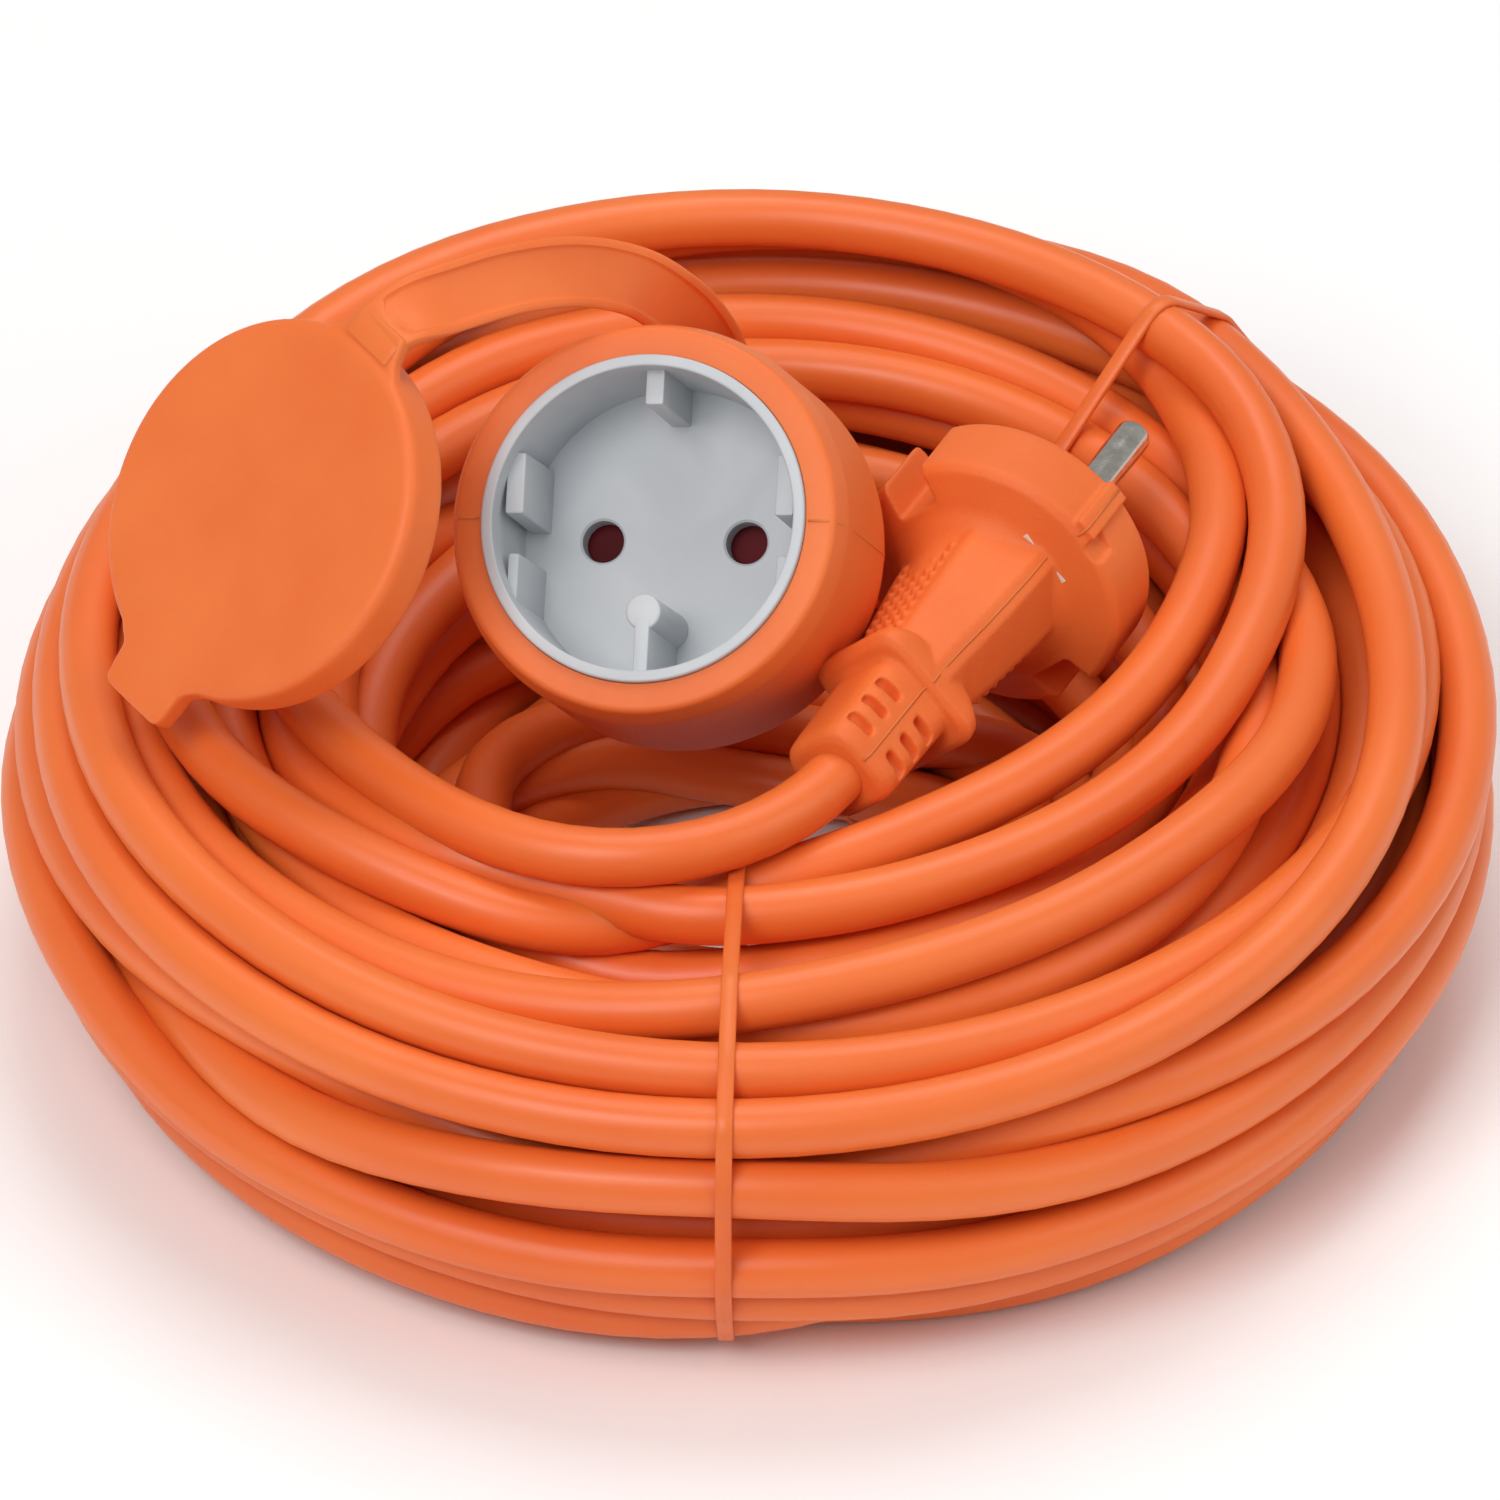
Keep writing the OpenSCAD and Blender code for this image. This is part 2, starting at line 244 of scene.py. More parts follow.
# polyamide of the socket's insert: satin light grey
grey = hard_plastic("moulded grey polyamide", "C4C8CB", "BBC0C4", 0.45, 0.4)
# the child-safety shutter: dull dark red, deep in shade behind the pin holes
dark_red = hard_plastic("moulded dark red polycarbonate", "5E0510", "48040C", 0.5, 0.08, 0.06)
# inner carriers: natural white, matt
white = hard_plastic("moulded white polyamide", "E9E6DC", "DEDACF", 0.5, 0.4)
# lead insulation: smooth satin PVC
brown = hard_plastic("extruded brown PVC", "5E341B", "512B15", 0.4, 0.45)
blue = hard_plastic("extruded blue PVC", "1F4FA8", "1A4492", 0.4, 0.45)


def metal(name, light, deep, rough, streak):
    """Bare or plated metal with fine handling marks along the part, streak in millimetres."""
    m, tree, shader = material(name, Metallic=1.0)
    where = add(tree, "ShaderNodeTexCoord").outputs["Object"]
    # 2.5 mm patches of wear
    wear = add(tree, "ShaderNodeTexNoise", {"Scale": 400.0, "Detail": 4.0, "Roughness": 0.65}, Vector=where)
    scratch = add(tree, "ShaderNodeTexNoise", {"Scale": 1000 / streak, "Detail": 3.0, "Distortion": 0.6}, Vector=where)
    dyed(tree, shader, wear, deep, light, 0.35, 0.65)
    spread = {"From Min": 0.3, "From Max": 0.7, "To Min": rough - 0.06, "To Max": rough + 0.12}
    gloss = add(tree, "ShaderNodeMapRange", spread, Value=wear)
    tree.links.new(gloss.outputs["Result"], shader.inputs["Roughness"])
    bump = add(tree, "ShaderNodeBump", {"Strength": 0.12, "Distance": 0.00005}, Height=scratch)
    tree.links.new(bump.outputs["Normal"], shader.inputs["Normal"])
    return m


# the pins are plated and bright, the contacts bare stamped strip, the clips and springs rolled steel
nickel = metal("nickel-plated brass", "E2DFD6", "CFCBC0", 0.16, 0.5)
brass = metal("stamped brass", "CFA55A", "B98D45", 0.3, 0.6)
steel = metal("spring steel", "B9BCC0", "9EA2A8", 0.28, 0.4)

# matt paint, very slightly mottled
backdrop, tree, shader = material("painted studio floor", Roughness=0.9)
where = add(tree, "ShaderNodeTexCoord").outputs["Object"]
mottle = add(tree, "ShaderNodeTexNoise", {"Scale": 30.0, "Detail": 3.0}, Vector=where)
dyed(tree, shader, mottle, "F9F9F9", "FDFDFC", 0.0, 1.0)

# ---------------------------------------------------------------- the wound cable

STATIONS = 96  # points in one turn
CORE, SKIN = 9, 18  # turns inside the bundle and turns round its outside
TURNS = 36
START, END = 116.0, 243.0  # bearings where the winding starts and ends
PILE = 50.0  # height of the bundle without the loops that lie on top
TIGHTEST = 28.5  # bends tighter than this are eased
END_RUN = 40  # places at each end of the cable that take the easiest shape
APART = 0.4  # gap kept between the cable and a moulding
# the first turns lie loose on the floor inside the bundle: radius, shift to the front, height at the back and the front
LOOSE = [
    (46, 0, 4, 4), (43, 3, 4, 11), (40, 7, 4, 4), (40, 12, 4, 18), (41, 17, 4, 24), (42, 22, 4, 30), (43, 24, 11, 30), (42, 12, 12, 24),
]  # fmt: skip
# the two loops that lie on top: bearing and radius
LAST = [
    (-97, 43), (-58, 41.5), (-27, 46), (0, 53), (25, 70), (53, 85),
    (78, 90), (100, 84), (140, 75), (180, 65), (210, 54), (243, 43),
]  # fmt: skip
BEFORE = [
    (-97, 52), (-60, 50.5), (-30, 55), (0, 63.5), (30, 80), (60, 92),
    (90, 94), (125, 91), (160, 82), (197, 74), (217, 67), (240, 61),
]  # fmt: skip
# neighbouring turns that cross for part of the way round: turn, bearing, half width
CROSSINGS = [
    (18, 30, 50), (22, 200, 60), (24, 330, 45), (26, 120, 55), (28, 250, 50),
    (30, 20, 50), (32, 300, 40), (21, 350, 40), (27, 185, 40),
]  # fmt: skip
PROUD_TURN, PROUD_AT = 27, 178  # one loop that stands out at the left
MID = np.array([(COIL_IN + COIL_OUT) / 2, COIL_HIGH / 2])  # the middle of the section, as radius and height


def lean(z):
    """How far the lower turns lean in."""
    return COIL_LEAN * np.clip((38 - z) / 38, 0, 1) ** 1.3


def outline(inset, high):
    """The bundle's section, as radius and height."""
    a = np.linspace(0, 2 * np.pi, 720, endpoint=False)
    power = lambda c: np.sign(c) * np.abs(c) ** (2 / COIL_POWER)
    z = high / 2 + (high / 2 - inset) * power(np.sin(a))
    w = MID[0] - COIL_IN - inset - np.where(np.cos(a) > 0, lean(z), 0)
    return np.c_[MID[0] + w * power(np.cos(a)), z]


def rounds(curve, turns, start):
    """Places for that many turns laid side by side along a closed curve, from its point nearest start."""
    c = np.roll(curve, -np.argmin(((curve - start) ** 2).sum(1)), axis=0)
    c = np.vstack([c, c[:1]])
    s = np.r_[0, np.cumsum(np.linalg.norm(np.diff(c, axis=0), axis=1))]
    t = np.linspace(0, s[-1] * (1 - 0.5 / turns), turns * STATIONS)
    return np.c_[np.interp(t, s, c[:, 0]), np.interp(t, s, c[:, 1])]


def ease(x):
    """A soft step from 0 to 1."""
    x = np.clip(x, 0, 1)
    return x * x * (3 - 2 * x)


def off_bearing(bearing, at):
    """Degrees from one bearing to another, the short way round."""
    return (bearing - at + 180) % 360 - 180


def bend_points(at, along, towards, radius, degrees, step=4.0):
    """A round bend that starts at a point, along one direction, and turns towards another."""
    t = along / np.linalg.norm(along)
    n = towards - (towards @ t) * t
    n /= np.linalg.norm(n)
    a = np.linspace(0, math.radians(degrees), max(3, round(radius * math.radians(degrees) / step)))[:, None]
    return at + radius * (np.sin(a) * t + (1 - np.cos(a)) * n), np.cos(a[-1]) * t + np.sin(a[-1]) * n


socket_exit = placed([0, 0, SOCKET_END], SOCKET_AT, SOCKET_TURN)
plug_exit = placed([0, 0, PLUG_END], PLUG_AT, PLUG_TURN)
socket_bend, socket_way = bend_points(socket_exit, -SOCKET_TURN[:, 2], *SOCKET_BEND)
plug_bend, plug_way = bend_points(plug_exit, -PLUG_TURN[:, 2], *PLUG_BEND)


def kept_clear():
    """Spheres that the turns lie clear of: the mouldings, the pins and the cable's own end bends.

    Each is a centre, a radius and how many of the first places it leaves alone.
    """
    balls = []
    plug = [(0, z, r) for z, r in ((0, 18.5), (-6, 18.5), (-12, 18.5), (-20, 13.5), (-28, 11), (-36, 10), (-44, 8), (-52, 7))]
    socket = [(0, z, r) for z, r in ((-22, 26), (-30, 23), (-36, 18), (-44, 14.5), (-52, 11.5))]
    pins = [(x, z, 2.6) for x in (-PIN_X, PIN_X) for z in (4, 10, 16, 20)]
    for spheres, at, turned in ((plug, PLUG_AT, PLUG_TURN), (socket, SOCKET_AT, SOCKET_TURN), (pins, PLUG_AT, PLUG_TURN)):
        balls += [(placed([x, 0, z], at, turned), r, 0) for x, z, r in spheres]
    for p in socket_bend[2:]:
        balls.append((p, CABLE_R, 40))
    for p in plug_bend[1:]:
        balls.append((p, CABLE_R, 0))
    return balls


def bump_at(bearing, at, width):
    """A rounded swell, 1 at one bearing and fading away from it."""
    return np.exp(-((off_bearing(bearing, at) / width) ** 2))


def loose_turns(bearing):
    """The turns on the floor: circles set off towards the front, blended into each other."""
    blur = STATIONS // 4
    even = np.ones(2 * blur + 1) / (2 * blur + 1)
    spread = np.repeat(LOOSE, STATIONS, 0).astype(float)
    size, off, back, front = (np.convolve(np.pad(v, blur, mode="edge"), even, "valid") for v in spread.T)
    side = np.sin(np.radians(bearing[: len(spread)]))
    radius = -off * side + np.sqrt(size**2 - (off**2) * (1 - side**2))
    return np.c_[radius, back + (front - back) * (0.5 - 0.5 * side)]


def wanted(bearing):
    """Where each place of the winding would lie, as radius and height, and how far each is loose, on top or proud."""
    rng = np.random.default_rng(11)
    count = len(bearing)
    inner = loose_turns(bearing)
    base = np.vstack(
        [
            inner,
            rounds(outline(CABLE_R + CABLE_D, PILE)[::-1], CORE, np.array([60.0, 10.0])),
            rounds(outline(CABLE_R, PILE), SKIN, np.array([52.6, 40.0])),
        ]
    )
    want = np.vstack([base[:count], np.repeat(base[-1:], max(0, count - len(base)), 0)])
    whole = bearing[-1] - END
    loops = np.array([(b + whole - 360, r) for b, r in BEFORE] + [(b + whole, r) for b, r in LAST])
    top = ease((bearing - loops[0, 0] + 60) / 60)
    radius = np.interp(bearing, loops[:, 0], loops[:, 1])
    height = 48 + 9 * bump_at(bearing, 90, 75) + 2 * bump_at(bearing, -75, 50)
    want[:, 0] += (radius - want[:, 0]) * top
    want[:, 1] += (height - want[:, 1]) * top
    # the first stretch comes in low from the socket
    low = ease(1 - np.arange(count) / 20)[:, None]
    want = want * (1 - low) + np.array([46.0, 5.0]) * low
    # slow wander
    u = np.arange(count) / STATIONS
    for size, rate in ((1.5, 0.37), (1.3, 0.83), (1.0, 1.7), (0.6, 2.9)):
        for axis in (0, 1):
            phase = np.cumsum(rng.normal(0, 0.09, count)) + rng.uniform(0, 6.28)
            want[:, axis] += size * np.sin(2 * np.pi * rate * u + phase) * (1 - 0.7 * top)
    for k, at, wide in CROSSINGS:
        i = np.arange(k * STATIONS, (k + 1) * STATIONS)
        w = ease((wide - abs(off_bearing(bearing[i], at))) / 22)[:, None]
        a, c = want[i].copy(), want[i + STATIONS].copy()
        out = (a - MID) / np.linalg.norm(a - MID, axis=1)[:, None]
        want[i] = a + w * (c - a) + out * 18 * w * (1 - w)
        want[i + STATIONS] = c + w * (a - c) - out * 14 * w * (1 - w)
    proud = np.arange(count) // STATIONS == PROUD_TURN
    want[proud, 0] += 6 * bump_at(bearing[proud], PROUD_AT, 24)
    return want, (np.arange(count) < len(inner)).astype(float), top, proud


def pushed_apart(p, pair, times):
    """Turns that overlap at the same bearing move away from each other."""
    rows = len(pair)
    q = np.vstack([p, np.zeros((rows * STATIONS - len(p), 2))]).reshape(rows, STATIONS, 2)
    for _ in range(times):
        d = q[:, None] - q[None]
        far = np.sqrt((d**2).sum(-1)) + 1e-9
        gap = np.where(pair & (far < CABLE_D), CABLE_D - far, 0)
        q = q + (d / far[..., None] * gap[..., None] * 0.36).sum(1)
    return q.reshape(-1, 2)[: len(p)].copy()


def wind(steps=300):
    """The cable's middle line through the bundle: places for every turn, then rounds of pushing apart and smoothing."""
    count = TURNS * STATIONS + round((END - START) / 360 * STATIONS) + 1
    bearing = START + np.arange(count) * 360 / STATIONS
    ct, st = np.cos(np.radians(bearing)), np.sin(np.radians(bearing))
    want, loose, top, proud = wanted(bearing)
    rows = math.ceil(count / STATIONS)
    live = (np.arange(rows * STATIONS) < count).reshape(rows, STATIONS)
    pair = live[:, None] & live[None] & ~np.eye(rows, dtype=bool)[:, :, None]
    squeeze = bump_at(bearing, TIE_FRONT, 9) + bump_at(bearing, TIE_BACK, 9)
    hold = (0.035 + 0.06 * top + 0.05 * loose)[:, None]
    room = np.where(proud, 1.1, 1.0)
    half = MID[0] - COIL_IN - CABLE_R
    balls = kept_clear()
    p = want.copy()
    for step in range(steps):
        done = step / steps
        for _ in range(3):
            p[1:-1] = 0.5 * p[1:-1] + 0.25 * (p[:-2] + p[2:])
        p += (want - p) * hold * (1 - 0.6 * done)
        p[:, 1] -= 0.05 + 0.10 * top
        p = pushed_apart(p, pair, 3 if done < 0.8 else 6)
        # back inside the bundle's section, whose inner side is open to the loose turns and the top loops
        wide = np.where(p[:, 0] > MID[0], half - lean(p[:, 1]), half + 5 + 42 * loose + 12 * top) - 1.2 * squeeze * (1 - loose)
        rel = np.c_[(p[:, 0] - MID[0]) / wide, (p[:, 1] - MID[1]) / (MID[1] - CABLE_R)]
        m = (np.abs(rel) ** COIL_POWER).sum(1) ** (1 / COIL_POWER)
        k = 1 - 0.6 * (1 - np.minimum(1, room / m))
        p[:, 0] = MID[0] + (p[:, 0] - MID[0]) * k
        p[:, 1] = np.maximum(np.where(p[:, 1] > MID[1], p[:, 1], MID[1] + (p[:, 1] - MID[1]) * k), CABLE_R)
        for centre, radius, skip in balls:
            v = np.c_[p[:, 0] * ct, p[:, 0] * st, p[:, 1]][skip:] - centre
            far = np.linalg.norm(v, axis=1)
            near = np.clip(radius + CABLE_R + APART - far, 0, None) / (far + 1e-9)
            p[skip:, 0] += (v[:, 0] * ct[skip:] + v[:, 1] * st[skip:]) * near
            p[skip:, 1] += v[:, 2] * near
        p[:, 1] = np.maximum(p[:, 1], CABLE_R)
    return np.c_[p[:, 0] * ct, p[:, 0] * st, p[:, 1]], bearing, p


def join(a, way_a, b, way_b, step=4.5):
    """A smooth stretch between two points that leaves and arrives along the given ways."""
    far = np.linalg.norm(b - a)
    t = np.linspace(0, 1, max(4, round(far / step)))[1:-1, None]
    return (
        (2 * t**3 - 3 * t**2 + 1) * a
        + (t**3 - 2 * t**2 + t) * way_a * far
        + (3 * t**2 - 2 * t**3) * b
        + (t**3 - t**2) * way_b * far
    )


def unit(v):
    return v / np.linalg.norm(v)


turns, turn_bearing, turn_place = wind()
first, final = 24, len(turns) - 12  # the places where the winding takes over from the end bends
line = np.vstack(
    [
        placed([[0, 0, SOCKET_END + 4]], SOCKET_AT, SOCKET_TURN),
        socket_bend,
        join(socket_bend[-1], socket_way, turns[first], unit(turns[first + 1] - turns[first - 1])),
        turns[first:final],
        join(turns[final - 1], unit(turns[final] - turns[final - 2]), plug_bend[-1], -plug_way),
        plug_bend[::-1],
        placed([[0, 0, PLUG_END + 4]], PLUG_AT, PLUG_TURN),
    ]
)
for _ in range(2):
    line[2:-2] = 0.5 * line[2:-2] + 0.25 * (line[1:-3] + line[3:-1])
# both ends take the easiest shape between the moulding and the turns
for run in (line[:END_RUN], line[-END_RUN:]):
    for _ in range(300):
        pull = 0.5 * (run[:-2] + run[2:]) - run[1:-1]
        run[3:-3] -= 0.4 * (0.5 * (pull[:-2] + pull[2:]) - pull[1:-1])[1:-1]
        run[:, 2] = np.maximum(run[:, 2], CABLE_R)
# no bend is tighter than a stiff cable takes: smooth where one is, and a little to each side
for _ in range(900):
    a, b, c = line[:-2], line[1:-1], line[2:]
    across = np.linalg.norm(np.cross(b - a, c - a), axis=1) + 1e-9
    bend = np.prod([np.linalg.norm(side, axis=1) for side in (b - a, c - b, c - a)], axis=0) / (2 * across)
    from_end = np.minimum(np.arange(len(bend)), np.arange(len(bend))[::-1])
    eased = np.clip(np.convolve(bend < TIGHTEST, np.hanning(17), "same"), 0, 1) * np.clip((from_end - 24) / 10, 0, 1)
    line[1:-1] += 0.4 * eased[:, None] * (0.5 * (a + c) - b)
    line[:, 2] = np.maximum(line[:, 2], CABLE_R)


def skin_faces(n, m, closed=False):
    """Faces over n rings of m points each; open ends are capped."""
    faces = [
        [i * m + j, i * m + (j + 1) % m, (i + 1) % n * m + (j + 1) % m, (i + 1) % n * m + j]
        for i in range(n if closed else n - 1)
        for j in range(m)
    ]
    return faces if closed else faces + [list(range(m))[::-1], [(n - 1) * m + k for k in range(m)]]


def sweep(line, section, up=None):
    """A section carried along a line. With up, its second axis keeps to that direction; otherwise it doesn't twist."""
    ahead = np.roll(line, -1, 0) - np.roll(line, 1, 0)
    ahead[0], ahead[-1] = line[1] - line[0], line[-1] - line[-2]
    ahead /= np.linalg.norm(ahead, axis=1)[:, None]
    if up is None:
        side = np.cross(ahead[0], (0.3, 0.2, 0.9))
        sides = []
        for t in ahead:
            side = side - (side @ t) * t
            side /= np.linalg.norm(side)
            sides.append(side)
        sides = np.array(sides)
    else:
        sides = np.cross(ahead, up)
        sides /= np.linalg.norm(sides, axis=1)[:, None]
    over = np.cross(sides, ahead)
    section = np.asarray(section)
    points = line[:, None] + section[None, :, :1] * sides[:, None] + section[None, :, 1:] * over[:, None]
    return points.reshape(-1, 3), skin_faces(len(line), len(section))


def facing_out(o):
    """Turns every face of a closed mesh outwards."""
    b = bmesh.new()
    b.from_mesh(o.data)
    bmesh.ops.recalc_face_normals(b, faces=b.faces)
    b.to_mesh(o.data)
    b.free()
    return o


ring = [(CABLE_R * math.cos(a), CABLE_R * math.sin(a)) for a in np.linspace(0, 2 * math.pi, 16, endpoint=False)]
cable = facing_out(mesh_piece("cable", *sweep(line, ring), sheath))
# its own UV map: once round, and millimetres along
uv = cable.data.uv_layers.new(name="along the cable")
gone = np.r_[0, np.cumsum(np.linalg.norm(np.diff(line, axis=0), axis=1))]
sides = len(ring)
corner = np.empty(len(cable.data.loops), int)
cable.data.loops.foreach_get("vertex_index", corner)
quads = 4 * (len(line) - 1) * sides
coord = np.zeros((len(corner), 2))
coord[:, 0], coord[:, 1] = corner % sides / sides, gone[corner // sides]
around = coord[:quads, 0].reshape(-1, 4)
around[(around.max(1) > 0.9)[:, None] & (around < 0.1)] = 1.0
coord[:quads, 0] = around.ravel()
uv.data.foreach_set("uv", coord.ravel())
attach(cable, "cord")
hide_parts("cable_coil", "cable_socket_tail", "cable_plug_tail")

# ---------------------------------------------------------------- strap ties


def hull(points):
    """The convex outline of plane points, anticlockwise."""
    p = sorted(map(tuple, points))
    def half(p):
        h = []
        for q in p:
            while len(h) > 1 and (h[-1][0] - h[-2][0]) * (q[1] - h[-2][1]) <= (h[-1][1] - h[-2][1]) * (q[0] - h[-2][0]):
                h.pop()
            h.append(q)
        return h[:-1]
    return np.array(half(p) + half(p[::-1]))


def tie(name, at):
    """A flat strap drawn tight round all the turns at one bearing."""
    near = abs(off_bearing(turn_bearing, at)) < 1.9
    a = np.linspace(0, 2 * np.pi, 40, endpoint=False)
    reach = CABLE_R + 0.15  # just clear of the sheath
    rim = hull((turn_place[near][:, None] + reach * np.c_[np.cos(a), np.sin(a)][None]).reshape(-1, 2))
    rim = np.vstack([rim, rim[:1]])
    s = np.r_[0, np.cumsum(np.linalg.norm(np.diff(rim, axis=0), axis=1))]
    t = np.linspace(0, s[-1], 220, endpoint=False)
    rim = np.c_[np.interp(t, s, rim[:, 0]), np.interp(t, s, rim[:, 1])]
    rim[:, 1] = np.maximum(rim[:, 1], 0.45)
    b = math.radians(at)
    loop = np.c_[rim[:, 0] * math.cos(b), rim[:, 0] * math.sin(b), rim[:, 1]]
    w, h, cut = 1.05, 0.42, 0.2  # half its width and thickness, and its bevelled edges
    section = [(-w, -h + cut), (-w + cut, -h), (w - cut, -h), (w, -h + cut), (w, h - cut), (w - cut, h), (-w + cut, h), (-w, h - cut)]
    across = np.array([-math.sin(b), math.cos(b), 0])
    ahead = np.roll(loop, -1, 0) - np.roll(loop, 1, 0)
    ahead /= np.linalg.norm(ahead, axis=1)[:, None]
    out = np.cross(ahead, across)
    section = np.array(section)
    points = loop[:, None] + section[None, :, :1] * across + section[None, :, 1:] * out[:, None]
    faces = skin_faces(len(loop), len(section), closed=True)
    return facing_out(mesh_piece(name, points.reshape(-1, 3), faces, tie_pvc))


for name, node, at in (("tie_strap_front", "tie_front", TIE_FRONT), ("tie_strap_back", "tie_back", TIE_BACK)):
    strap = tie(name, at)
    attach(strap, "cord")
    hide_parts(node)

# ---------------------------------------------------------------- moulded shapes, each in its own frame


def solid(points, faces, name="shape"):
    """A closed mesh object in millimetres of a moulding's own frame."""
    me = bpy.data.meshes.new(name)
    me.from_pydata([tuple(p) for p in np.asarray(points, float)], [], faces)
    o = bpy.data.objects.new(name, me)
    bpy.context.collection.objects.link(o)
    b = bmesh.new()
    b.from_mesh(me)
    bmesh.ops.remove_doubles(b, verts=b.verts, dist=1e-4)
    bmesh.ops.recalc_face_normals(b, faces=b.faces)
    b.to_mesh(me)
    b.free()
    return o


def filleted(corners, steps=5):
    """A plane outline from (x, y, fillet radius) corners."""
    out = []
    n = len(corners)
    for k, (x, y, r) in enumerate(corners):
        if r <= 0:
            out.append((x, y))
            continue
        p, a, b = (np.array(corners[i % n][:2], float) for i in (k, k - 1, k + 1))
        u, v = unit(a - p), unit(b - p)
        half = math.acos(max(-1, min(1, u @ v))) / 2
        reach = min(r / math.tan(half), 0.48 * np.linalg.norm(a - p), 0.48 * np.linalg.norm(b - p))
        for t in np.linspace(0, 1, steps + 1):
            out.append(tuple((1 - t) ** 2 * (p + u * reach) + 2 * t * (1 - t) * p + t**2 * (p + v * reach)))
    return np.array(out)


def lathe(profile, steps=128):
    """A closed (radius, height) outline turned round z; points on the axis close up."""
    m = len(profile)
    a = np.linspace(0, 2 * np.pi, steps, endpoint=False)
    points = [(r * math.cos(t), r * math.sin(t), z) for t in a for r, z in profile]
    faces = [
        [i * m + j, (i + 1) % steps * m + j, (i + 1) % steps * m + (j + 1) % m, i * m + (j + 1) % m]
        for i in range(steps)
        for j in range(m)
    ]
    return solid(points, faces)


def loft(levels):
    """A skin through outlines of equal count, each a height and its plane points."""
    points = [(x, y, z) for z, outline in levels for x, y in outline]
    return solid(points, skin_faces(len(levels), len(levels[0][1])))


def block(x0, x1, y0, y1, z0, z1):
    return loft([(z, [(x0, y0), (x1, y0), (x1, y1), (x0, y1)]) for z in (z0, z1)])


def applied(o):
    """Turns an object with modifiers into a plain mesh object."""
    me = bpy.data.meshes.new_from_object(o.evaluated_get(bpy.context.evaluated_depsgraph_get()))
    o.modifiers.clear()
    o.data = me
    return o


def joined(parts):
    """One object out of several, their shells left as they are."""
    b = bmesh.new()
    for part in parts:
        b.from_mesh(part.data)
    me = bpy.data.meshes.new("joined")
    b.to_mesh(me)
    b.free()
    for part in parts[1:]:
        bpy.data.objects.remove(part)
    parts[0].data = me
    return parts[0]


def carved(o, cutters, solver="EXACT"):
    tool = joined(cutters)
    mod = o.modifiers.new("carve", "BOOLEAN")
    mod.operation, mod.object, mod.solver = "DIFFERENCE", tool, solver
    applied(o)
    bpy.data.objects.remove(tool)
    return o


def fused(parts, grid, rounds=6):
    """Overlapping shells made one skin, its edges eased as a mould's are."""
    o = joined(parts)
    mod = o.modifiers.new("fuse", "REMESH")
    mod.mode, mod.voxel_size, mod.use_smooth_shade = "VOXEL", grid, True
    mod = o.modifiers.new("ease", "SMOOTH")
    mod.factor, mod.iterations = 0.5, rounds
    return applied(o)


def finished(o, name, mat, at, turned, body, slot, nodes, sharp=None):
    """Puts a moulding in its place, names it and hands it to its body."""
    me = o.data
    co = np.empty(len(me.vertices) * 3)
    me.vertices.foreach_get("co", co)
    me.vertices.foreach_set("co", (placed(co.reshape(-1, 3), at, turned) * MM).ravel())
    me.polygons.foreach_set("use_smooth", [True] * len(me.polygons))
    if sharp:
        me.set_sharp_from_angle(angle=math.radians(sharp))
    me.update()
    me.materials.clear()
    me.materials.append(mat)
    o.name = me.name = name
    if body:
        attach(o, body)
    if nodes:
        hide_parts(*nodes)
    return o


# ---------------------------------------------------------------- trees for what repeats


def new_tree(name, **sizes):
    """A Geometry Nodes group with named inputs: the tree, its input node and its output node."""
    tree = bpy.data.node_groups.new(name, "GeometryNodeTree")
    tree.interface.new_socket("Geometry", in_out="INPUT", socket_type="NodeSocketGeometry")
    tree.interface.new_socket("Geometry", in_out="OUTPUT", socket_type="NodeSocketGeometry")
    for key, kind in sizes.items():
        tree.interface.new_socket(key.replace("_", " "), in_out="INPUT", socket_type="NodeSocket" + kind)
    return tree, add(tree, "NodeGroupInput"), add(tree, "NodeGroupOutput")


def ended(tree, made, given, out):
    """Ends a tree: instances made real and given their finish."""
    real = add(tree, "GeometryNodeRealizeInstances", Geometry=made)
    whole = add(tree, "GeometryNodeSetMaterial", Geometry=real, Material=given.outputs["Finish"])
    tree.links.new(whole.outputs[0], out.inputs[0])


# a field of domes on a four-cornered patch: the finger grip
dome_tree, given, out = new_tree(
    "grip domes",
    **{f"Corner_{letter}": "Vector" for letter in "ABCD"},
    Columns="Int",
    Rows="Int",
    Dome_radius="Float",
    Finish="Material",
)
counts = {"Vertices_X": given.outputs["Columns"], "Vertices_Y": given.outputs["Rows"]}
net = add(dome_tree, "GeometryNodeMeshGrid", {"Size X": 1.0, "Size Y": 1.0}, **counts)
place = add(dome_tree, "ShaderNodeSeparateXYZ", Vector=add(dome_tree, "GeometryNodeInputPosition"))
u = add(dome_tree, "ShaderNodeMath", {"operation": "ADD", 1: 0.5}, i0=place.outputs["X"])
v = add(dome_tree, "ShaderNodeMath", {"operation": "ADD", 1: 0.5}, i0=place.outputs["Y"])
vector = {"data_type": "VECTOR"}  # a vector mix takes its two ends as inputs 4 and 5
low = add(dome_tree, "ShaderNodeMix", vector, i0=u, i4=given.outputs["Corner A"], i5=given.outputs["Corner B"])
high = add(dome_tree, "ShaderNodeMix", vector, i0=u, i4=given.outputs["Corner D"], i5=given.outputs["Corner C"])
spot = add(dome_tree, "ShaderNodeMix", vector, i0=v, i4=low.outputs[1], i5=high.outputs[1])
laid = add(dome_tree, "GeometryNodeSetPosition", Geometry=net.outputs["Mesh"], Position=spot.outputs[1])
dome = add(dome_tree, "GeometryNodeMeshIcoSphere", {"Subdivisions": 2}, Radius=given.outputs["Dome radius"])
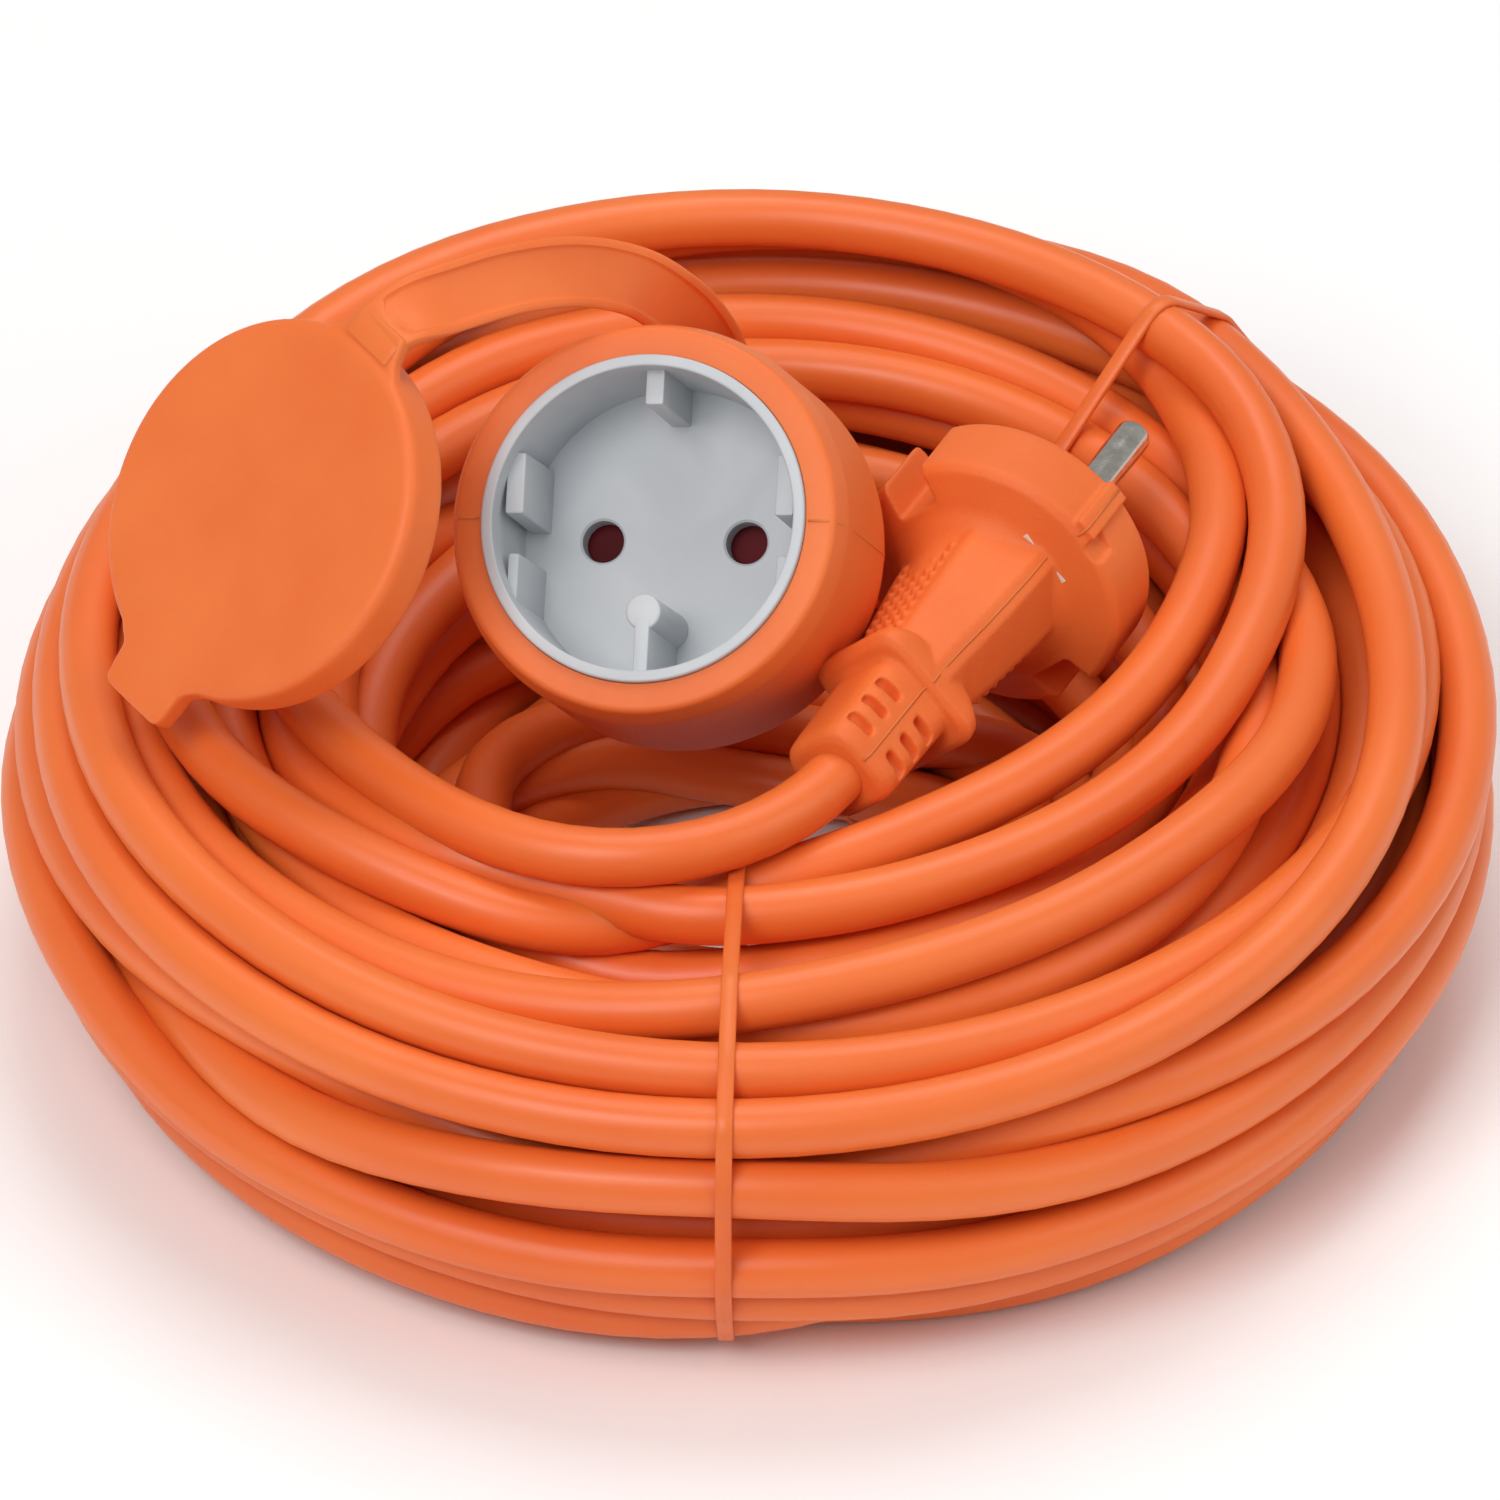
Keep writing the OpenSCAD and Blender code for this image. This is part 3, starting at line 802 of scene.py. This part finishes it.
domes = add(dome_tree, "GeometryNodeInstanceOnPoints", Points=laid, Instance=dome.outputs["Mesh"])
ended(dome_tree, domes, given, out)

# a row of blocks along z: cutters for the relief's slots, whose corners the fused skin rounds
pad_tree, given, out = new_tree(
    "row of slot cutters",
    Start="Vector",
    Pitch="Float",
    Count="Int",
    Pad_size="Vector",
    Finish="Material",
)
step = add(pad_tree, "ShaderNodeCombineXYZ", Z=given.outputs["Pitch"])
laid = {"Count": given.outputs["Count"], "Start_Location": given.outputs["Start"], "Offset": step}
row = add(pad_tree, "GeometryNodeMeshLine", {"mode": "OFFSET"}, **laid)
pad = add(pad_tree, "GeometryNodeMeshCube", Size=given.outputs["Pad size"])
pads = add(pad_tree, "GeometryNodeInstanceOnPoints", Points=row, Instance=pad.outputs["Mesh"])
ended(pad_tree, pads, given, out)

# rings along z that shrink as they go: the ribs of the socket's strain relief
rib_tree, given, out = new_tree(
    "relief rings",
    Start_height="Float",
    Pitch="Float",
    Count="Int",
    First_radius="Float",
    Last_radius="Float",
    Thickness="Float",
    Finish="Material",
)
start, step = (add(rib_tree, "ShaderNodeCombineXYZ", Z=given.outputs[size]) for size in ("Start height", "Pitch"))
laid = {"Count": given.outputs["Count"], "Start_Location": start, "Offset": step}
row = add(rib_tree, "GeometryNodeMeshLine", {"mode": "OFFSET"}, **laid)
last = add(rib_tree, "ShaderNodeMath", {"operation": "SUBTRACT", 1: 1.0}, i0=given.outputs["Count"])
part_way = add(rib_tree, "ShaderNodeMath", {"operation": "DIVIDE"}, i0=add(rib_tree, "GeometryNodeInputIndex"), i1=last)
ends = {"i2": given.outputs["First radius"], "i3": given.outputs["Last radius"]}
size = add(rib_tree, "ShaderNodeMix", {"data_type": "FLOAT"}, i0=part_way, **ends)
circle = add(rib_tree, "GeometryNodeCurvePrimitiveCircle", {"Resolution": 96, "Radius": 1.0})
spun = add(rib_tree, "GeometryNodeInstanceOnPoints", Points=row, Instance=circle.outputs["Curve"], Scale=size.outputs[0])
loops = add(rib_tree, "GeometryNodeRealizeInstances", Geometry=spun)
round_rib = add(rib_tree, "GeometryNodeCurvePrimitiveCircle", {"Resolution": 16}, Radius=given.outputs["Thickness"])
ribs = add(rib_tree, "GeometryNodeCurveToMesh", Curve=loops, Profile_Curve=round_rib.outputs["Curve"])
ended(rib_tree, ribs, given, out)


def grown(tree, **sizes):
    """Runs a tree with its inputs set by identifier, and gives the plain mesh object."""
    o = solid([(0, 0, 0), (0.1, 0, 0), (0, 0.1, 0)], [(0, 1, 2)], tree.name)
    mod = o.modifiers.new(tree.name, "NODES")
    mod.node_group = tree
    for item in tree.interface.items_tree:
        key = item.name.replace(" ", "_")
        if item.in_out == "INPUT" and key in sizes:
            mod[item.identifier] = sizes[key]
    return applied(o)


# ---------------------------------------------------------------- the plug

# z runs along the pins, x through both pins; the mould parts in the plane y = 0
HEAD = [
    (0, 0, 0), (18.5, 0, 1.1), (18.5, -9.6, 0.5), (17.6, -10.5, 0.6),
    (12.6, -11.9, 4), (9.6, -14.5, 4), (8.4, -19.5, 0), (0, -19.5, 0),
]  # fmt: skip
head = lathe(filleted(HEAD), 144)
notches = [block(-3.4, 3.4, 13.4 * s if s > 0 else -20, 20 if s > 0 else -13.4, -21, 1) for s in (-1, 1)]
steps = [block(17.3, 21, 1.6, 4.6, -10.6, -6.9), block(-21, -17.3, -4.6, -1.6, -10.6, -6.9)]
carved(head, notches + steps)
bars = [block(*span, -1.6, 1.6, -9.7, -0.15) for span in ((16.5, 19.4), (-19.4, -16.5))]


def grip_outline(a, b):
    """A narrow flat on the parting line at each side, long slanted faces, and flat top and bottom."""
    edge, side = (1.3, 0.25), 0.56 * a
    corners = [(a, -edge[0], edge[1]), (a, *edge), (side, b, 2.2), (-side, b, 2.2)]
    corners += [(-a, *edge), (-a, -edge[0], edge[1]), (-side, -b, 2.2), (side, -b, 2.2)]
    return filleted(corners)


# height along the plug, half width and half depth
GRIP = [
    (-8.0, 13.2, 8.7), (-12.0, 13.0, 8.6), (-16.5, 12.6, 8.3), (-21.5, 11.7, 7.9),
    (-26.5, 10.5, 7.5), (-31.0, 8.9, 7.0), (-36.5, 7.8, 6.7),
]  # fmt: skip
grip = loft([(z, grip_outline(a, b)) for z, a, b in GRIP])


def soft_box(a, b, r):
    """A rounded rectangle."""
    return filleted([(a, -b, r), (a, b, r), (-a, b, r), (-a, -b, r)])


COLLAR = [(-33.0, 7.2, 6.9), (-34.6, 7.8, 8.2), (-35.6, 8.0, 9.1), (-37.4, 8.0, 9.3), (-38.2, 7.2, 8.2)]
RELIEF = [(-36.5, 6.5, 6.4), (-50.0, 6.2, 6.2), (-52.6, 6.1, 6.1), (-53.6, 5.6, 5.6), (-54.0, 4.9, 4.9)]
collar = loft([(z, soft_box(a, b, 3.2)) for z, a, b in COLLAR])
relief = loft([(z, soft_box(a, b, 3.6)) for z, a, b in RELIEF])
slots = [
    grown(pad_tree, Start=(x, y, -49.9), Pitch=3.75, Count=3, Pad_size=(3.8, 3.6, 1.7), Finish=grained)
    for x in (-6.4, 6.4)
    for y in (-3.4, 3.4)
]
carved(relief, slots)
domes = []
for side in (-1, 1):
    corners = ((-4.6, 8.42, -15.5), (4.6, 8.42, -15.5), (3.4, 7.15, -31.0), (-3.4, 7.15, -31.0))
    patch = {f"Corner_{letter}": (x, side * y, z) for letter, (x, y, z) in zip("ABCD", corners)}
    domes.append(grown(dome_tree, **patch, Columns=5, Rows=9, Dome_radius=0.62, Finish=grained))
plug = fused([head, grip, collar, relief] + bars + domes, 0.3, 4)
finished(plug, "plug_moulding", grained, PLUG_AT, PLUG_TURN, "cord", "orange_moulding", ["plug_body"])


def mould_seam(name, side_line, foot, ridge, high, mat, at, turned):
    """The flash line where the two halves of the mould met, down both sides: half widths at its foot and ridge."""
    section = [(-foot, -0.25), (foot, -0.25), (ridge, high), (-ridge, high)]
    seams = []
    for s in (-1, 1):
        path = np.array([(s * x, 0, z) for x, z in side_line])
        seams.append(solid(*sweep(path, section, up=(0, 1, 0))))
    finished(joined(seams), name, mat, at, turned, "cord", "orange_moulding", [])


plug_side = [(19.42, -0.4), (19.42, -9.5), (18.0, -10.2), (13.15, -10.9)] + [(a, z) for z, a, b in GRIP[1:-1]]
plug_side += [(7.95, -35.3), (8.02, -37.3), (6.5, -38.6), (6.2, -50), (6.1, -52.6), (5.5, -53.7)]
mould_seam("plug_mould_seam", plug_side, 0.09, 0.06, 0.1, grained, PLUG_AT, PLUG_TURN)

# pins: turned brass, plated, with rounded tips
for name, x in (("left", -PIN_X), ("right", PIN_X)):
    pin = lathe(filleted([(0, -13, 0), (2.0, -13, 0), (2.0, -0.4, 0), (2.4, -0.4, 0), (2.4, 19, 2.1), (0, 19, 0)], 8), 48)
    pin.data.transform(Matrix.Translation((x, 0, 0)))
    finished(pin, f"plug_pin_{name}_plated", nickel, PLUG_AT, PLUG_TURN, "cord", "nickel_plate", [f"plug_pin_{name}"], sharp=50)

# ---------------------------------------------------------------- the socket

# z comes out of its face; the neck is at the back
BODY = [
    (21.3, 0.05, 0.15), (25.0, 0.05, 1.0), (26, -4, 5), (26, -24, 4), (25, -28, 2), (22.8, -31.8, 3),  # the head, outside
    (18.6, -35.2, 3), (14.5, -37.4, 2), (11.5, -38.6, 0.6), (11.5, -50.5, 1),  # shoulder and neck
    (9.6, -53.5, 1), (7.2, -57.5, 1), (6.2, -62, 0.6), (3.9, -62, 0.2),  # strain relief
    (3.9, -50, 0), (6.5, -48.5, 0), (6.5, -40, 0), (13, -34, 0), (21.3, -33, 0),  # inside
]  # fmt: skip
body = lathe(filleted(BODY), 160)
relief_rings = {"Start_height": -52.6, "Pitch": -2.1, "Count": 5, "First_radius": 10.0, "Last_radius": 6.35, "Thickness": 0.55}
rings = grown(rib_tree, **relief_rings, Finish=moulded)
in_socket = (moulded, SOCKET_AT, SOCKET_TURN)
finished(joined([body, rings]), "socket_moulding", *in_socket, "cord", "orange_moulding", ["socket_body"], sharp=60)
socket_side = [(21.6, 0.04), (24.3, 0.03), (25.1, -0.7), (25.65, -2.8), (25.95, -7), (26.0, -24)]
socket_side += [(25, -28), (22.8, -31.8), (18.6, -35.2), (14.6, -37.3)]
mould_seam("socket_mould_seam", socket_side, 0.1, 0.07, 0.09, *in_socket)

# the recess and its rim, then the skirt that reaches back inside the moulding
INSERT = [
    (0, -16.7, 0), (19.75, -16.7, 0.25), (19.75, 0.8, 0.3), (21.25, 0.8, 0.35),
    (21.25, -33, 0.3), (18.7, -33, 0.2), (18.7, -19.7, 0), (0, -19.7, 0),
]  # fmt: skip
insert = lathe(filleted(INSERT), 160)


def drilled(x, r, z0, z1):
    """A cutter for a pin hole with a small countersink at the floor."""
    a = np.linspace(0, 2 * np.pi, 48, endpoint=False)
    levels = ((z0, r), (-16.95, r), (-16.65, r + 0.35), (z1, r + 0.35))
    return loft([(z, np.c_[x + q * np.cos(a), q * np.sin(a)]) for z, q in levels])


carved(insert, [drilled(x, 2.75, -21, -15) for x in (-PIN_X, PIN_X)])


def standing_rib(x0, x1, y0, y1, top=-2.2):
    """A blocking rib that stands on the floor, drawn in a little towards its top."""
    levels = []
    for z, i in ((-16.8, -0.12), (top - 0.3, 0.02), (top - 0.06, 0.12), (top, 0.32)):
        plan = ((x0 + i, y0 + i), (x1 - i, y0 + i), (x1 - i, y1 - i), (x0 + i, y1 - i))
        levels.append((z, filleted([(x, y, 0.35) for x, y in plan], 3)))
    return loft(levels)


ribs = [standing_rib(-1.2, 1.3, 15.2, 20.2), standing_rib(-1.0, 1.0, -20.2, -11.6)]
for s in (-1, 1):
    ribs.append(standing_rib(*sorted((s * 16.5, s * 19.0)), 1.0, 9.0, -2.6))
    ribs.append(standing_rib(*sorted((s * 16.9, s * 18.4)), -10.4, -4.0, -3.2))
boss = lathe(filleted([(0, -16.8, 0), (2.45, -16.8, 0), (2.3, -2.3, 0.4), (0, -2.1, 0)]), 40)
boss.data.transform(Matrix.Translation((0, -11.6, 0)))
insert = joined([insert, boss] + ribs)
finished(insert, "socket_insert_moulding", grey, SOCKET_AT, SOCKET_TURN, "cord", "grey_plastic", ["socket_insert"], sharp=32)

collar = lathe(filleted([(11.5, -48.5, 0.3), (14, -48.5, 0.8), (14, -39.5, 0.8), (11.5, -39.5, 0.3)]), 96)
lug = block(11.6, 14.8, -4.5, 4.5, -48, -40)
lug.data.transform(Matrix.Rotation(math.radians(81), 4, "Z"))
finished(fused([collar, lug], 0.3, 5), "cap_ring", *in_socket, "cord", "orange_moulding", ["cap_collar"])

# ---------------------------------------------------------------- the cap and its strap

plate = lathe(filleted([(0, 0, 0), (25, 0, 1.5), (25, -6.6, 0.5), (23.1, -6.6, 0.3), (23.1, -2, 0.4), (0, -2, 0)]), 144)
# the thumb tab and the strap's root, each half an outline that is mirrored
TAB = [(-21.5, -10.2, 0), (-23.6, -8.2, 2.0), (-25.0, -6.4, 1.2), (-30.4, -5.9, 1.8)]
ROOT = [(21.5, -11.0, 0), (22.6, -8.6, 2.0), (25.6, -5.4, 2.5), (29.0, -4.5, 0)]


def mirrored(half, *levels):
    """A flat plate between two heights from half its outline."""
    edge = half + [(x, -y, r) for x, y, r in half[::-1]] + [(half[0][0], 0, 0)]
    return loft([(z, filleted(edge)) for z in levels])


tab, root = mirrored(TAB, -3.2, -0.05), mirrored(ROOT, -2.4, -0.5)
finished(fused([plate, tab, root], 0.34, 7), "cap_moulding", moulded, CAP_AT, CAP_TURN, "cap", "orange_moulding", ["cap"])

# from the ring on the socket's neck, up and over to the cap's root
STRAP = np.array(
    [
        (-2.2, 27.2, 46.2), (-2.6, 29.2, 50.6), (-2.9, 31.8, 57.5), (-4.4, 32.2, 67), (-6.6, 27.5, 76.2),
        (-9.6, 22.4, 84.2), (-14.5, 18.6, 91), (-21.5, 14.4, 96), (-29.5, 9, 99.2), (-37.6, 3.0, 100.9),
        (-42.8, -0.6, 101.3), (-46.4, -3.05, 100.4), (-48.3, -4.3, 98.4),
    ]
)  # fmt: skip
STRAP_FACING = np.array([0, -0.766, 0.643])  # the way the strap's outer face looks


def spline(points, step):
    """A smooth line through the points, about one step between places."""
    p = np.vstack([2 * points[0] - points[1], points, 2 * points[-1] - points[-2]])
    out = []
    for k in range(1, len(p) - 2):
        n = max(2, round(np.linalg.norm(p[k + 1] - p[k]) / step))
        t = np.linspace(0, 1, n, endpoint=False)[:, None]
        square = 2 * p[k - 1] - 5 * p[k] + 4 * p[k + 1] - p[k + 2]
        cube = 3 * p[k] - p[k - 1] - 3 * p[k + 1] + p[k + 2]
        out.append(0.5 * (2 * p[k] + (p[k + 1] - p[k - 1]) * t + square * t**2 + cube * t**3))
    return np.vstack(out + [points[-1:]])


run = spline(STRAP, 0.6)
ahead = np.gradient(run, axis=0)
ahead /= np.linalg.norm(ahead, axis=1)[:, None]
across = np.cross(ahead, STRAP_FACING)
across /= np.linalg.norm(across, axis=1)[:, None]
gone = np.r_[0, np.cumsum(np.linalg.norm(np.diff(run, axis=0), axis=1))]
to_cap = ease((gone - gone[-1] + 14) / 13)[:, None]
across = across * (1 - to_cap) + CAP_TURN[:, 1] * (1 if across[-1] @ CAP_TURN[:, 1] > 0 else -1) * to_cap
across -= (across * ahead).sum(1)[:, None] * ahead
across /= np.linalg.norm(across, axis=1)[:, None]
over = np.cross(across, ahead)
over *= np.sign(over[len(over) // 2] @ STRAP_FACING)
# flat strap, sunk between two rims on its outer face; the sinking ends in a round pocket at each end
pocket = ease(gone / 3 - 1.2) * ease((gone[-1] - gone) / 1.6 - 2.6)
sections = []
for k in range(len(run)):
    d = 0.55 * pocket[k]
    w = 3.15 * math.sqrt(max(0.02, pocket[k]))
    rim = [(4.5, 0.68), (4.32, 0.86), (3.75, 0.9), (w + 0.28, 0.88), (w, 0.9 - 0.85 * d), (w - 0.3, 0.9 - d)]
    section = [(-4.5, -0.7), (-4.3, -0.9), (4.3, -0.9), (4.5, -0.7)] + rim + [(0, 0.9 - d)] + [(-x, y) for x, y in rim[::-1]]
    sections.append(run[k] + np.array([x * across[k] + y * over[k] for x, y in section]))
strap = solid(np.vstack(sections), skin_faces(len(sections), len(sections[0])))
finished(strap, "cap_strap_band", moulded, np.zeros(3), np.eye(3), None, "orange_moulding", ["cap_strap"], sharp=50)
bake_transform(strap)

# ---------------------------------------------------------------- CAD nodes whose shape stays

INSIDE = {
    dark_red: ["shutter"],
    white: ["contact_housing", "plug_pin_carrier"],
    brass: ["contact_left", "contact_right"],
    steel: ["contact_clips", "shutter_spring"],
    brown: ["socket_lead_brown", "plug_lead_brown"],
    blue: ["socket_lead_blue", "plug_lead_blue"],
}
for mat, nodes in INSIDE.items():
    for node in nodes:
        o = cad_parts[node]
        o = bpy.data.objects[o] if isinstance(o, str) else o
        if not o.material_slots:
            o.data.materials.append(mat)
        for slot in o.material_slots:
            slot.material = mat

# ---------------------------------------------------------------- floor

FLOOR = 3000  # half its side
corners = [(-FLOOR, -FLOOR, 0), (FLOOR, -FLOOR, 0), (FLOOR, FLOOR, 0), (-FLOOR, FLOOR, 0)]
floor = mesh_piece("floor", corners, [(0, 1, 2, 3)], backdrop)
